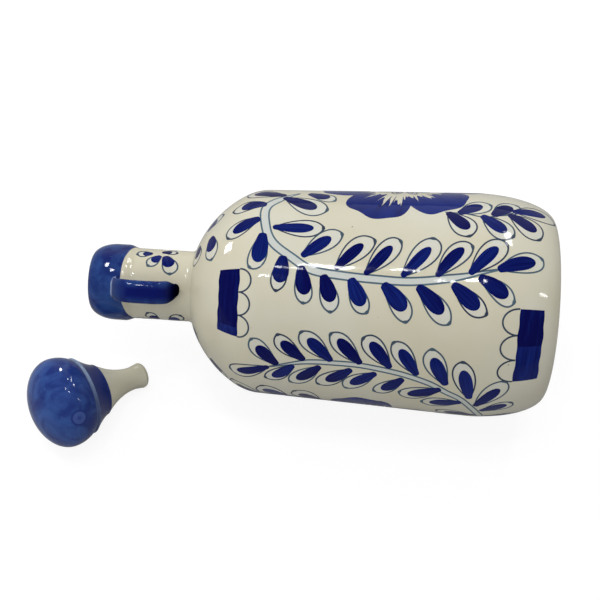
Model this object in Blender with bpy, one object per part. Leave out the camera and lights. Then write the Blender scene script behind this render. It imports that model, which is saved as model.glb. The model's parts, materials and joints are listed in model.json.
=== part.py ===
"""Ceramic oil bottle lying on its side, with its stopper taken out and laid beside the neck.

Units are metres and +Z is up. The bottle and the stopper are each turned about an upright axis of
their own, and the empty that carries each one lays it on the table, which is z = 0.
"""
import math

import bmesh
import bpy
from mathutils import Matrix, Vector

# Body, standing on its foot
BODY_HEIGHT = 0.1373              # foot to the edge where the shoulder turns in
SHOULDER_RADIUS = 0.0480
HEEL_RADIUS = 0.0524              # widest place, at the top of the heel curve
HEEL_HEIGHT = 0.0345
HEEL_INSET = 0.0120               # how far the heel curve draws in to the foot
SHOULDER_HEIGHT = 0.0292
SHOULDER_CURVE = 0.0500           # radius of the arc from the body to the neck
BODY_WALL = 0.0044
BODY_FLOOR = 0.0060
FOOT_RING_WIDTH = 0.0065
FOOT_RECESS = 0.0015              # the middle of the base stands clear of the table

# Neck with its thickened lip, luted onto the shoulder
NECK_RADIUS = 0.01675
NECK_LENGTH = 0.0489              # shoulder to the lip's crest
NECK_WALL = 0.0050
LIP_SWELL = 0.0014                # how far the lip stands out from the neck
LIP_DEPTH = 0.0222                # crest to the foot of the swelling
LIP_FLARE = 0.0055
LIP_ROUND_HEIGHT = 0.0118
LIP_ROUND_WIDTH = 0.0064
MOUTH_RADIUS = 0.0090
MOUTH_ROUND = 0.0015
MOUTH_THROAT = 0.0120             # straight part of the mouth that the stopper seats in
MOUTH_TAPER = 0.0080

# Strap handle between the lip and the foot of the neck
HANDLE_WIDTH = 0.0103
HANDLE_THICKNESS = 0.0060
HANDLE_GAP = 0.0105               # clear space between the neck and the strap
HANDLE_TOP_DROP = 0.0166          # crest to the middle of the strap's upper root
HANDLE_FOOT_RISE = 0.0068         # foot of the neck to the middle of the lower root
HANDLE_SQUARENESS = 2.6           # 2 would be a half ellipse

# Stopper, standing on the tip of its stem
STEM_LENGTH = 0.0249
STEM_WAIST_RADIUS = 0.0056         # narrowest place, just above the tip's bead
STEM_TIP_RADIUS = 0.0063
STEM_TIP_ROUND = 0.0022           # half the height of the bead
STEM_TOP_RADIUS = 0.0124
COLLAR_LENGTH = 0.0100            # flared collar between the stem and the knob
COLLAR_STEP = 0.0004
COLLAR_HOLLOW = 1.4               # 1 would be a straight cone
GROOVE_RADIUS = 0.0183
GROOVE_WIDTH = 0.0014
KNOB_RADIUS = 0.0218
KNOB_EDGE_RADIUS = 0.0190         # lower edge of the knob, above the groove
KNOB_SKIRT = 0.0091               # lower edge up to the widest place
DOME_HEIGHT = 0.0144
STOPPER_WALL = 0.0042
DRAIN_RADIUS = 0.0026             # opening in the tip of the hollow stem

# How the two pieces lie on the table
BOTTLE_ROLL = math.radians(-34)   # the handle faces the front, this far off straight up
STOPPER_HEADING = math.radians(35.5)
STOPPER_SIDE_GAP = 0.0024         # stem tip to the bottle's front side
KNOB_PAST_LIP = 0.0099            # widest ring of the knob, beyond the crest of the lip

SEAM = 0.0003                     # gap between pieces that touch
BOTTLE_SEGMENTS = 48
STOPPER_SEGMENTS = 40
STRAP_SIDES = 16
STRAP_STEPS = 18

CREAM = (0.68, 0.66, 0.62)
COBALT = (0.03, 0.04, 0.15)
GLAZE_ROUGHNESS = 0.15

bottle_down = math.pi - BOTTLE_ROLL     # the side of the upright bottle that ends up on the table
neck_foot = BODY_HEIGHT + SHOULDER_HEIGHT
lip_crest = neck_foot + NECK_LENGTH
lip_radius = NECK_RADIUS + LIP_SWELL
neck_bore = NECK_RADIUS - NECK_WALL


def clear_scene():
    for old in list(bpy.data.objects):
        bpy.data.objects.remove(old, do_unlink=True)


def glaze(name, colour):
    material = bpy.data.materials.new(name)
    material.use_nodes = True
    shader = material.node_tree.nodes["Principled BSDF"]
    shader.inputs["Base Color"].default_value = (*colour, 1.0)
    shader.inputs["Roughness"].default_value = GLAZE_ROUGHNESS
    shader.inputs["Metallic"].default_value = 0.0
    return material


def empty(name, parent=None):
    """A carrier that places the pieces parented to it."""
    frame = bpy.data.objects.new(name, None)
    frame.parent = parent
    bpy.context.scene.collection.objects.link(frame)
    return frame


def finish(name, bm, material, parent):
    """Turn a bmesh into a smooth shaded object with its faces pointing out."""
    bmesh.ops.recalc_face_normals(bm, faces=bm.faces)
    mesh = bpy.data.meshes.new(name)
    bm.to_mesh(mesh)
    bm.free()
    mesh.shade_smooth()
    mesh.set_sharp_from_angle(angle=math.radians(35))
    if material:
        mesh.materials.append(material)
    piece = bpy.data.objects.new(name, mesh)
    piece.parent = parent
    bpy.context.scene.collection.objects.link(piece)
    return piece


def ellipse_arc(centre, radii, start, end, steps):
    """Points (radius, height) along part of an ellipse, angles in degrees from the +radius side."""
    points = []
    for step in range(steps + 1):
        angle = math.radians(start + (end - start) * step / steps)
        points.append((centre[0] + radii[0] * math.cos(angle), centre[1] + radii[1] * math.sin(angle)))
    return points


def turned(name, profile, segments, down_angle, material, parent):
    """Spin a closed (radius, height) outline about Z, with one flat facet centred on down_angle."""
    bm = bmesh.new()
    start = down_angle + math.pi / segments
    verts = []
    for radius, height in profile:
        verts.append(bm.verts.new((radius * math.cos(start), radius * math.sin(start), height)))
    open_on_axis = profile[0][0] == 0 and profile[-1][0] == 0
    pairs = list(zip(verts, verts[1:]))
    if not open_on_axis:
        pairs.append((verts[-1], verts[0]))
    edges = [bm.edges.new(pair) for pair in pairs]
    bmesh.ops.spin(
        bm, geom=verts + edges, cent=(0, 0, 0), axis=(0, 0, 1),
        angle=2 * math.pi, steps=segments, use_merge=True,
    )
    bmesh.ops.remove_doubles(bm, verts=bm.verts, dist=1e-7)
    return finish(name, bm, material, parent)


def resting_edge(outline):
    """The two outline points that touch the table when the turned piece lies on its side."""
    best = None
    for index, first in enumerate(outline):
        for second in outline[index + 1:]:
            rise = second[1] - first[1]
            if abs(rise) < 1e-6:
                continue
            slope = (second[0] - first[0]) / rise
            over = max(point[0] - first[0] - slope * (point[1] - first[1]) for point in outline)
            if over < 1e-6 and (best is None or abs(rise) > best[0]):
                best = (abs(rise), first, second)
    return best[1], best[2]


def lay_down(frame, outline, segments, heading, roll):
    """Lay a carrier on its side, its +Z towards -X turned by heading, resting on one facet."""
    first, second = resting_edge(outline)
    flat = math.cos(math.pi / segments)
    tilt = math.atan2(flat * (first[0] - second[0]), second[1] - first[1])
    frame.rotation_mode = "ZYX"
    turn = Matrix.Rotation(heading, 3, "Z") @ Matrix.Rotation(-math.pi / 2 - tilt, 3, "Y")
    turn = turn @ Matrix.Rotation(roll, 3, "Z")
    frame.rotation_euler = turn.to_euler("ZYX")
    frame.location.z = flat * first[0] * math.cos(tilt) + first[1] * math.sin(tilt)


def shoulder_arc(radius, low, high, steps):
    """The shoulder's arc at a radius about its own centre, from one distance off the axis to another."""
    start = Vector((SHOULDER_RADIUS, BODY_HEIGHT))
    end = Vector((NECK_RADIUS, neck_foot))
    half = (end - start) / 2
    away = Vector((-half.y, half.x)).normalized()
    centre = start + half + away * math.sqrt(SHOULDER_CURVE ** 2 - half.length_squared)
    first = math.degrees(math.acos((low - centre.x) / radius))
    last = math.degrees(math.acos((high - centre.x) / radius))
    return ellipse_arc(centre, (radius, radius), first, last, steps)


def body_outline():
    """Outside of the body, from the foot ring up to the foot of the neck."""
    foot = HEEL_RADIUS - HEEL_INSET
    heel = ellipse_arc((foot, HEEL_HEIGHT), (HEEL_INSET, HEEL_HEIGHT), -90, 0, 9)
    return heel + shoulder_arc(SHOULDER_CURVE, SHOULDER_RADIUS, NECK_RADIUS, 9)


def make_body(parent):
    """Hollow slip-cast body with a foot ring, a bulging heel and a domed shoulder."""
    outside = body_outline()
    foot_inside = outside[0][0] - FOOT_RING_WIDTH
    underside = [(0, FOOT_RECESS), (foot_inside - FOOT_RECESS, FOOT_RECESS), (foot_inside, 0)]
    inner_heel = ellipse_arc(
        (HEEL_RADIUS - HEEL_INSET, HEEL_HEIGHT + BODY_FLOOR),
        (HEEL_INSET - BODY_WALL, HEEL_HEIGHT), -90, 0, 5,
    )
    inner_shoulder = shoulder_arc(SHOULDER_CURVE - BODY_WALL, SHOULDER_RADIUS - BODY_WALL, neck_bore, 6)
    inside = [(0, BODY_FLOOR)] + inner_heel + inner_shoulder + [(neck_bore, neck_foot)]
    profile = underside + outside + inside[::-1]
    cream = glaze("cream_glaze_body", CREAM)
    return turned("vessel_body", profile, BOTTLE_SEGMENTS, bottle_down, cream, parent)


def neck_outline(foot, grow):
    """Outside of the neck and lip from a foot height to the crest, swollen by grow."""
    flare_foot = lip_crest - LIP_DEPTH
    points = [(NECK_RADIUS + grow, foot)]
    for step in range(5):
        part = step / 4
        swell = LIP_SWELL * (1 - math.cos(math.pi * part)) / 2
        points.append((NECK_RADIUS + swell + grow, flare_foot + LIP_FLARE * part))
    crest = (lip_radius - LIP_ROUND_WIDTH, lip_crest - LIP_ROUND_HEIGHT)
    points += ellipse_arc(crest, (LIP_ROUND_WIDTH + grow, LIP_ROUND_HEIGHT + grow), 0, 90, 8)
    return points


def make_neck(parent):
    """Tube neck with a rolled lip and a narrower mouth, set on the shoulder with a luted seam."""
    foot = neck_foot + SEAM
    outside = neck_outline(foot, 0)
    mouth_round = (MOUTH_RADIUS + MOUTH_ROUND, lip_crest - MOUTH_ROUND)
    inside = ellipse_arc(mouth_round, (MOUTH_ROUND, MOUTH_ROUND), 90, 180, 3)
    throat_foot = lip_crest - MOUTH_THROAT
    inside += [(MOUTH_RADIUS, throat_foot), (neck_bore, throat_foot - MOUTH_TAPER), (neck_bore, foot)]
    cream = glaze("cream_glaze_neck", CREAM)
    return turned("neck", outside + inside, BOTTLE_SEGMENTS, bottle_down, cream, parent)


def handle_path():
    """Middle line of the strap in (distance from the axis, height), from the lip down to the neck."""
    top = lip_crest - HANDLE_TOP_DROP
    foot = neck_foot + HANDLE_FOOT_RISE
    half = (top - foot) / 2
    depth = HANDLE_GAP + HANDLE_THICKNESS / 2
    power = 2 / HANDLE_SQUARENESS
    root = NECK_RADIUS - HANDLE_THICKNESS
    path = [(root, top)]
    for step in range(STRAP_STEPS + 1):
        angle = math.pi / 2 - math.pi * step / STRAP_STEPS
        out = depth * max(math.cos(angle), 0) ** power
        up = half * math.copysign(abs(math.sin(angle)) ** power, angle)
        path.append((NECK_RADIUS + out, foot + half + up))
    return path + [(root, foot)]


def make_handle(parent):
    """Oval strap pulled from lip to neck, its two roots cut to the round of the neck."""
    path = handle_path()
    bm = bmesh.new()
    rings = []
    for index, (out, height) in enumerate(path):
        before = Vector(path[max(index - 1, 0)])
        after = Vector(path[min(index + 1, len(path) - 1)])
        along = (after - before).normalized()
        across = Vector((0, 1, 0))
        forward = Vector((along.x, 0, along.y))
        place = Matrix((across, forward.cross(across), forward)).transposed().to_4x4()
        place.translation = (out, 0, height)
        oval = Matrix.Diagonal((HANDLE_WIDTH / 2, HANDLE_THICKNESS / 2, 1, 1))
        is_end = index in (0, len(path) - 1)
        ring = bmesh.ops.create_circle(
            bm, cap_ends=is_end, radius=1, segments=STRAP_SIDES, matrix=place @ oval)
        rings.append({edge for vert in ring["verts"] for edge in vert.link_edges})
    for ring, next_ring in zip(rings, rings[1:]):
        bmesh.ops.bridge_loops(bm, edges=list(ring | next_ring))
    handle = finish("handle", bm, glaze("cobalt_glaze_handle", COBALT), parent)
    room = [(0, neck_foot)] + neck_outline(neck_foot, SEAM) + [(0, lip_crest + SEAM)]
    cutter = turned("neck_room", room, BOTTLE_SEGMENTS, bottle_down, None, parent)
    cutter.hide_render = True
    cutter.display_type = "WIRE"
    cut = handle.modifiers.new("cut_to_neck", "BOOLEAN")
    cut.operation = "DIFFERENCE"
    cut.object = cutter
    return handle


def stopper_outline():
    """Outside of the stopper from the tip of the stem to the top of the dome."""
    bead = (STEM_TIP_RADIUS - STEM_TIP_ROUND, STEM_TIP_ROUND)
    points = ellipse_arc(bead, (STEM_TIP_ROUND, STEM_TIP_ROUND), -90, 20, 5)
    waist = 3 * STEM_TIP_ROUND
    for step in range(7):
        part = step / 6
        height = waist + (STEM_LENGTH - waist) * part
        points.append((STEM_WAIST_RADIUS + (STEM_TOP_RADIUS - STEM_WAIST_RADIUS) * part ** 2, height))
    collar_foot = STEM_TOP_RADIUS + COLLAR_STEP
    groove_foot = STEM_LENGTH + COLLAR_LENGTH
    for step in range(5):
        part = step / 4
        radius = collar_foot + (KNOB_EDGE_RADIUS - collar_foot) * part ** COLLAR_HOLLOW
        points.append((radius, STEM_LENGTH + COLLAR_STEP + (COLLAR_LENGTH - COLLAR_STEP) * part))
    points.append((GROOVE_RADIUS, groove_foot + GROOVE_WIDTH / 2))
    edge = groove_foot + GROOVE_WIDTH
    equator = edge + KNOB_SKIRT
    reach = math.degrees(math.acos(KNOB_EDGE_RADIUS / KNOB_RADIUS))
    skirt = KNOB_SKIRT / math.sin(math.radians(reach))
    points += ellipse_arc((0, equator), (KNOB_RADIUS, skirt), -reach, 0, 4)
    dome = ellipse_arc((0, equator), (KNOB_RADIUS, DOME_HEIGHT), 0, 90, 10)
    return points + dome[1:-1] + [(0, equator + DOME_HEIGHT)]


def make_stopper(parent):
    """Drain-cast stopper: a domed knob on a flared collar and a tapered stem, open at its tip."""
    outside = stopper_outline()
    groove = STEM_LENGTH + COLLAR_LENGTH
    equator = groove + GROOVE_WIDTH + KNOB_SKIRT
    hollow = (KNOB_RADIUS - STOPPER_WALL, DOME_HEIGHT - STOPPER_WALL)
    inside = [(DRAIN_RADIUS, 0), (DRAIN_RADIUS, STEM_LENGTH / 2)]
    inside += [(STEM_TOP_RADIUS - STOPPER_WALL, STEM_LENGTH), (GROOVE_RADIUS - STOPPER_WALL, groove)]
    inside += ellipse_arc((0, equator), hollow, 0, 90, 5)[:-1] + [(0, equator + hollow[1])]
    profile = inside[::-1] + outside
    cobalt = glaze("cobalt_glaze_stopper", COBALT)
    return turned("stopper", profile, STOPPER_SEGMENTS, math.pi, cobalt, parent)


def place_stopper(frame, bottle_frame):
    """Lay the stopper on the table in front of the neck, its stem pointing back at the bottle."""
    outline = stopper_outline()
    lay_down(frame, outline, STOPPER_SEGMENTS, STOPPER_HEADING, 0)
    turn = frame.rotation_euler.to_matrix()
    tip = turn @ Vector((0, 0, 0))
    equator = turn @ Vector((0, 0, outline[-1][1] - DOME_HEIGHT))
    strap_reach = NECK_RADIUS + HANDLE_GAP + HANDLE_THICKNESS
    strap_front = strap_reach * math.sin(-BOTTLE_ROLL) + HANDLE_WIDTH / 2 * math.cos(BOTTLE_ROLL)
    front = max(lip_radius, strap_front)
    crest = bottle_frame.rotation_euler.to_matrix() @ Vector((0, 0, lip_crest))
    frame.location.x = bottle_frame.location.x + crest.x - KNOB_PAST_LIP - equator.x
    frame.location.y = -front - STOPPER_SIDE_GAP - STEM_TIP_RADIUS * math.cos(STOPPER_HEADING) - tip.y


def centre_on_table(root, pieces):
    """Move everything so that the origin is on the table in the middle of the pieces' outline."""
    bpy.context.view_layer.update()
    points = [piece.matrix_world @ vert.co for piece in pieces for vert in piece.data.vertices]
    for axis in (0, 1):
        reach = [point[axis] for point in points]
        root.location[axis] = -(min(reach) + max(reach)) / 2


clear_scene()
table = empty("table_place")
bottle_frame = empty("bottle_axis", table)
stopper_frame = empty("stopper_axis", table)
lay_down(bottle_frame, body_outline(), BOTTLE_SEGMENTS, 0, BOTTLE_ROLL)
place_stopper(stopper_frame, bottle_frame)
body = make_body(bottle_frame)
neck = make_neck(bottle_frame)
handle = make_handle(bottle_frame)
stopper = make_stopper(stopper_frame)
centre_on_table(table, [body, neck, handle, stopper])
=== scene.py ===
import json
import random
from functools import partial
from math import acos, copysign, cos, degrees, dist, exp, pi, radians, sin, sqrt, tau

import bmesh
import bpy
import numpy as np
from mathutils import Matrix, Vector


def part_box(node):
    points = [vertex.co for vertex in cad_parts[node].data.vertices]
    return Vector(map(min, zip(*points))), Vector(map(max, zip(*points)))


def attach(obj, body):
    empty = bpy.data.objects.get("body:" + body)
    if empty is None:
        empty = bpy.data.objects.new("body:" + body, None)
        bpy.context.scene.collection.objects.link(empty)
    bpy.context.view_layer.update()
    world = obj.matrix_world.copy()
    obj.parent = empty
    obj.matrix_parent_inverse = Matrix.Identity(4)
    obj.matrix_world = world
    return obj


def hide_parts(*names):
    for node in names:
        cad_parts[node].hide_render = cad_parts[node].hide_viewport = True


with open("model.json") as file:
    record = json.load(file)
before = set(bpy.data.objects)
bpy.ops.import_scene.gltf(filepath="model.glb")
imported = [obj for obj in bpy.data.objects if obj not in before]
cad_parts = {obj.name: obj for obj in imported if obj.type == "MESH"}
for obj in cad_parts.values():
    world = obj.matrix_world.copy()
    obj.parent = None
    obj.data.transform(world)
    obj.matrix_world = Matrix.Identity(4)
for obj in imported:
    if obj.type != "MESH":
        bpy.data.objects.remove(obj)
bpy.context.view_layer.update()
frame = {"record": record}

scene = bpy.context.scene


# Body: slip-cast white stoneware with a foot ring, a bulging heel and a shoulder that turns in to the neck.
# A thick cream glaze covers it all over. It is modelled upright on its foot and then laid on its side,
# with its foot where the frame's base mount is.
MM = 0.001
BODY_HEIGHT = 137.3 * MM  # foot to the edge where the shoulder turns in
SHOULDER_RADIUS = 48.0 * MM
HEEL_RADIUS = 52.4 * MM  # widest place, at the top of the heel curve
HEEL_HEIGHT = 34.5 * MM
HEEL_INSET = 12.0 * MM
SHOULDER_HEIGHT = 29.2 * MM
SHOULDER_CURVE = 50.0 * MM  # radius of the arc from the body to the neck
SHOULDER_EASE = 4.5 * MM  # how far the soft edge of the shoulder reaches each way
BODY_WALL = 4.4 * MM
BODY_FLOOR = 6.0 * MM
FOOT_RING_WIDTH = 6.5 * MM
FOOT_RECESS = 1.5 * MM
NECK_RADIUS = 16.75 * MM
NECK_WALL = 5.0 * MM
BOTTLE_SEGMENTS = 240
BODY_STEPS = {"heel": 40, "shoulder": 40, "ease": 8, "inside": 12}  # steps along each curve
SHARP_ANGLE = radians(40)
WELD = 0.0001 * MM
HANDLE_ROLL = radians(-34)  # how far the handle leans to the front
MOUNT_BELOW_AXIS = 37.15 * MM  # the base mount is this far below the foot's middle

CREAM_WARM = "#DBD5BD"
CREAM_COOL = "#DEDBC9"
SPECK = "#7E7767"
CREAM_DRIFT = 38 * MM  # how far apart warmer and cooler patches of glaze lie
DRIFT_SPAN = {"From Min": 0.3, "From Max": 0.7}  # noise values that it runs between
SPECK_SPACING = 9 * MM
SPECK_RADIUS = 0.35 * MM
SPECK_EDGE = (1.4, 0.6)  # shares of the radius that a speck fades in between
SPECK_RARITY = 0.72
GLAZE_WAVE = 14 * MM  # thick glaze settles in slow waves that break up a reflection
GLAZE_WAVE_DEPTH = 0.13 * MM
NOISE_DETAIL = 3.0
GLAZE_ROUGHNESS = 0.06
GLAZE_IOR = 1.5
GLAZE_GLOSS = 0.3  # specular level: handling has dulled the glaze a little
SMOOTH = {"interpolation_type": "SMOOTHSTEP"}  # for Map Range: ease in and out
RGBA = {"data_type": "RGBA"}  # for Mix: colours

base_mount = frame["record"]["mounts"][0]
neckward = -Vector(base_mount["axis"])
sideways = Vector((0, 1, 0))
upward = sideways.cross(neckward)
handleward = upward * cos(HANDLE_ROLL) + sideways * sin(HANDLE_ROLL)
lay_bottle = Matrix((handleward, neckward.cross(handleward), neckward)).transposed().to_4x4()
lay_bottle.translation = Vector(base_mount["pos_m"]) + upward * MOUNT_BELOW_AXIS

neck_foot = BODY_HEIGHT + SHOULDER_HEIGHT
neck_bore = NECK_RADIUS - NECK_WALL
foot_radius = HEEL_RADIUS - HEEL_INSET


def arc(centre, radii, start, end, steps):
    """Points (radius, height) along part of an ellipse, angles in degrees from the outward side."""
    angles = [radians(start + (end - start) * step / steps) for step in range(steps + 1)]
    return [(centre[0] + radii[0] * cos(a), centre[1] + radii[1] * sin(a)) for a in angles]


def half_wave(share):
    """Eases from 0 at share 0 to 1 at share 1, and back to 0 at share 2."""
    return (1 - cos(pi * share)) / 2


def shoulder_arc(radius, outer, inner, steps):
    """The shoulder's arc at a radius about its own centre, from one distance off the axis to another."""
    start = Vector((SHOULDER_RADIUS, BODY_HEIGHT))
    half = (Vector((NECK_RADIUS, neck_foot)) - start) / 2
    inward = Vector((-half.y, half.x)).normalized()
    centre = start + half + inward * sqrt(SHOULDER_CURVE ** 2 - half.length_squared)
    first = degrees(acos((outer - centre.x) / radius))
    last = degrees(acos((inner - centre.x) / radius))
    return arc(centre, (radius, radius), first, last, steps)


def eased(before, corner, after, steps):
    """A soft turn between two outline points that leans towards the corner between them."""
    parts = [step / steps for step in range(steps + 1)]
    shares = [((1 - part) ** 2, 2 * part * (1 - part), part ** 2) for part in parts]
    return [tuple(np.dot(share, (before, corner, after))) for share in shares]


def turned(outline, segments):
    """Spin an upright (radius, height) outline about the axis into one closed skin."""
    bm = bmesh.new()
    verts = [bm.verts.new((radius, 0, height)) for radius, height in outline]
    pairs = list(zip(verts, verts[1:]))
    if outline[0][0] > 0:
        pairs.append((verts[-1], verts[0]))
    edges = [bm.edges.new(pair) for pair in pairs]
    bmesh.ops.spin(
        bm, geom=verts + edges, cent=(0, 0, 0), axis=(0, 0, 1),
        angle=tau, steps=segments, use_merge=True)
    bmesh.ops.remove_doubles(bm, verts=bm.verts, dist=WELD)
    return bm


def add_piece(name, bm, material, slot, lay=lay_bottle, body="bottle"):
    """Lay an upright mesh in its place, shade it smooth and let it ride on its body."""
    bmesh.ops.transform(bm, matrix=lay, verts=bm.verts)
    bmesh.ops.recalc_face_normals(bm, faces=bm.faces)
    mesh = bpy.data.meshes.new(name)
    bm.to_mesh(mesh)
    bm.free()
    mesh.shade_smooth()
    mesh.set_sharp_from_angle(angle=SHARP_ANGLE)
    mesh.materials.append(material)
    piece = bpy.data.objects.new(name, mesh)
    scene.collection.objects.link(piece)
    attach(piece, body)
    return piece


def colour(code):
    """An sRGB hex colour as the linear RGBA that shader sockets take."""
    channels = [int(code[start:start + 2], 16) / 255 for start in (1, 3, 5)]
    linear = [c / 12.92 if c <= 0.04045 else ((c + 0.055) / 1.055) ** 2.4 for c in channels]
    return (*linear, 1.0)


def add_node(tree, kind, sockets=None, **settings):
    """Add a shader node. A socket takes a value, an output or a node, whose first output in use is linked."""
    made = tree.nodes.new(f"ShaderNode{kind}")
    for name, value in settings.items():
        setattr(made, name, value)
    for name, value in (sockets or {}).items():
        if isinstance(name, str):
            socket = next(socket for socket in made.inputs if socket.enabled and socket.name == name)
        else:
            socket = made.inputs[name]
        if isinstance(value, bpy.types.Node):
            value = next(output for output in value.outputs if output.enabled)
        if isinstance(value, bpy.types.NodeSocket):
            tree.links.new(value, socket)
        else:
            socket.default_value = value
    return made


def empty_tree(owner):
    """Clear the nodes of a material or a world, and return add_node with its tree filled in."""
    owner.use_nodes = True
    owner.node_tree.nodes.clear()
    return partial(add_node, owner.node_tree)


def glazed(name, tint, gloss=GLAZE_GLOSS, lay=lay_bottle):
    """Glassy fired glaze. Tint gives its colour at each place of the upright piece, and gloss may too."""
    material = bpy.data.materials.new(name)
    add = empty_tree(material)
    place = add("TexCoord").outputs["Object"]
    upright = add(
        "Mapping", {"Vector": place, "Location": lay.translation, "Rotation": lay.to_euler()},
        vector_type="TEXTURE")
    waves = add("TexNoise", {"Vector": upright, "Scale": 1 / GLAZE_WAVE, "Detail": NOISE_DETAIL})
    bump = add("Bump", {"Height": waves, "Distance": GLAZE_WAVE_DEPTH})
    level = gloss(add, upright) if callable(gloss) else gloss
    shader = add("BsdfPrincipled", {
        "Base Color": tint(add, upright), "Roughness": GLAZE_ROUGHNESS, "IOR": GLAZE_IOR,
        "Specular IOR Level": level, "Normal": bump})
    add("OutputMaterial", {"Surface": shader})
    return material


def cream(add, upright):
    """Cream glaze: slow drifts between warm and cool, and a few dark iron specks from the clay."""
    drift = add("TexNoise", {"Vector": upright, "Scale": 1 / CREAM_DRIFT})
    share = add("MapRange", {"Value": drift, **DRIFT_SPAN}, **SMOOTH)
    ground = add("Mix", {"Factor": share, "A": colour(CREAM_WARM), "B": colour(CREAM_COOL)}, **RGBA)
    cells = add("TexVoronoi", {"Vector": upright, "Scale": 1 / SPECK_SPACING})
    start, end = [edge * SPECK_RADIUS / SPECK_SPACING for edge in SPECK_EDGE]
    spot = add("MapRange", {"Value": cells, "From Min": start, "From Max": end}, **SMOOTH)
    rare = add("Math", {0: cells.outputs["Color"], 1: SPECK_RARITY}, operation="GREATER_THAN")
    speck = add("Math", {0: spot, 1: rare}, operation="MULTIPLY")
    return add("Mix", {"Factor": speck, "A": ground, "B": colour(SPECK)}, **RGBA)


heel = arc((foot_radius, HEEL_HEIGHT), (HEEL_INSET, HEEL_HEIGHT), -90, 0, BODY_STEPS["heel"])
shoulder = shoulder_arc(SHOULDER_CURVE, SHOULDER_RADIUS, NECK_RADIUS, BODY_STEPS["shoulder"])
ease_share = SHOULDER_EASE / dist(shoulder[0], heel[-1])
ease_start = tuple(Vector(shoulder[0]).lerp(Vector(heel[-1]), ease_share))
ease_end = next(point for point in shoulder if dist(point, shoulder[0]) > SHOULDER_EASE)
body_outside = heel + eased(ease_start, shoulder[0], ease_end, BODY_STEPS["ease"])
body_outside += shoulder[shoulder.index(ease_end) + 1:]
ring_inside = foot_radius - FOOT_RING_WIDTH
underside = [(0, FOOT_RECESS), (ring_inside - FOOT_RECESS, FOOT_RECESS), (ring_inside, 0)]
inner_floor = (foot_radius, HEEL_HEIGHT + BODY_FLOOR)
inner_heel = (HEEL_INSET - BODY_WALL, HEEL_HEIGHT)
inner_curve = SHOULDER_CURVE - BODY_WALL
body_inside = [(0, BODY_FLOOR)] + arc(inner_floor, inner_heel, -90, 0, BODY_STEPS["inside"])
body_inside += shoulder_arc(inner_curve, SHOULDER_RADIUS - BODY_WALL, neck_bore, BODY_STEPS["inside"])
body_inside += [(neck_bore, neck_foot)]

cream_glaze = glazed("cream_stoneware_glaze", cream)
body_mesh = turned(underside + body_outside + body_inside[::-1], BOTTLE_SEGMENTS)
vessel = add_piece("glazed_vessel", body_mesh, cream_glaze, "cream_glaze")
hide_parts("vessel_body")


# Neck: a short tube of the same clay, luted onto the shoulder, with a swollen rolled lip.
# A broad brush of cobalt colours the lip down to the top of the handle, and the rest is left cream.
NECK_LENGTH = 48.9 * MM  # shoulder to the lip's crest
LIP_SWELL = 1.4 * MM
LIP_DEPTH = 22.2 * MM
LIP_FLARE = 5.5 * MM
LIP_ROUND_HEIGHT = 11.8 * MM
LIP_ROUND_WIDTH = 6.4 * MM
MOUTH_RADIUS = 9.0 * MM
MOUTH_ROUND = 1.5 * MM
MOUTH_THROAT = 12.0 * MM
MOUTH_TAPER = 8.0 * MM
LUTING_HEIGHT = 2.4 * MM  # the seam on the shoulder, smoothed by a wet finger
LUTING_STEPS = 2  # how many steps of the shoulder's arc it covers
BAND_FOOT = 192.6 * MM  # lower edge of the cobalt band beside the handle
BAND_DIP = 4.5 * MM  # the band ends this much higher below the handle
BAND_LEAN = 0.9 * MM  # and this much lower on the front than on the back
BAND_WANDER = 2.2 * MM
BAND_STROKE = 22 * MM  # length of the hand's wander along the edge
BAND_EDGE = 0.5 * MM
NECK_STEPS = {"seam": 10, "flare": 12, "lip": 24, "mouth": 6}

COBALT_DEEP = "#16266A"
COBALT_MID = "#2C4A88"
COBALT_THIN = "#5F7CB4"
COBALT_GLOSS = 0.15  # specular level: cobalt soaks up some of the glaze and leaves it drier
LIP_GLOSS = 0.2  # the neck and the stopper have both, so they lie between
COBALT_CLOUD = 11 * MM  # cobalt clouds where the brush ran dry
CLOUD_SHAPE = {"Detail": 4.0, "Distortion": 0.8}
CLOUD_SPAN = {"From Min": 0.32, "From Max": 0.68}
COBALT_GRAIN = 1.6 * MM
GRAIN_SPAN = {"From Min": 0.62, "From Max": 0.95}

lip_crest = neck_foot + NECK_LENGTH
lip_radius = NECK_RADIUS + LIP_SWELL


def brushed_cobalt(add, upright, deep, middle):
    """Cobalt brushed under the glaze: deep where it lies thick, clouded and grainy where it is thin."""
    cloud = add("TexNoise", {"Vector": upright, "Scale": 1 / COBALT_CLOUD, **CLOUD_SHAPE})
    thin = add("MapRange", {"Value": cloud, **CLOUD_SPAN}, **SMOOTH)
    thick = add("Mix", {"Factor": thin, "A": colour(deep), "B": colour(middle)}, **RGBA)
    grain = add("TexNoise", {"Vector": upright, "Scale": 1 / COBALT_GRAIN})
    worn = add("MapRange", {"Value": grain, **GRAIN_SPAN}, **SMOOTH)
    return add("Mix", {"Factor": worn, "A": thick, "B": colour(COBALT_THIN)}, **RGBA)


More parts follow.
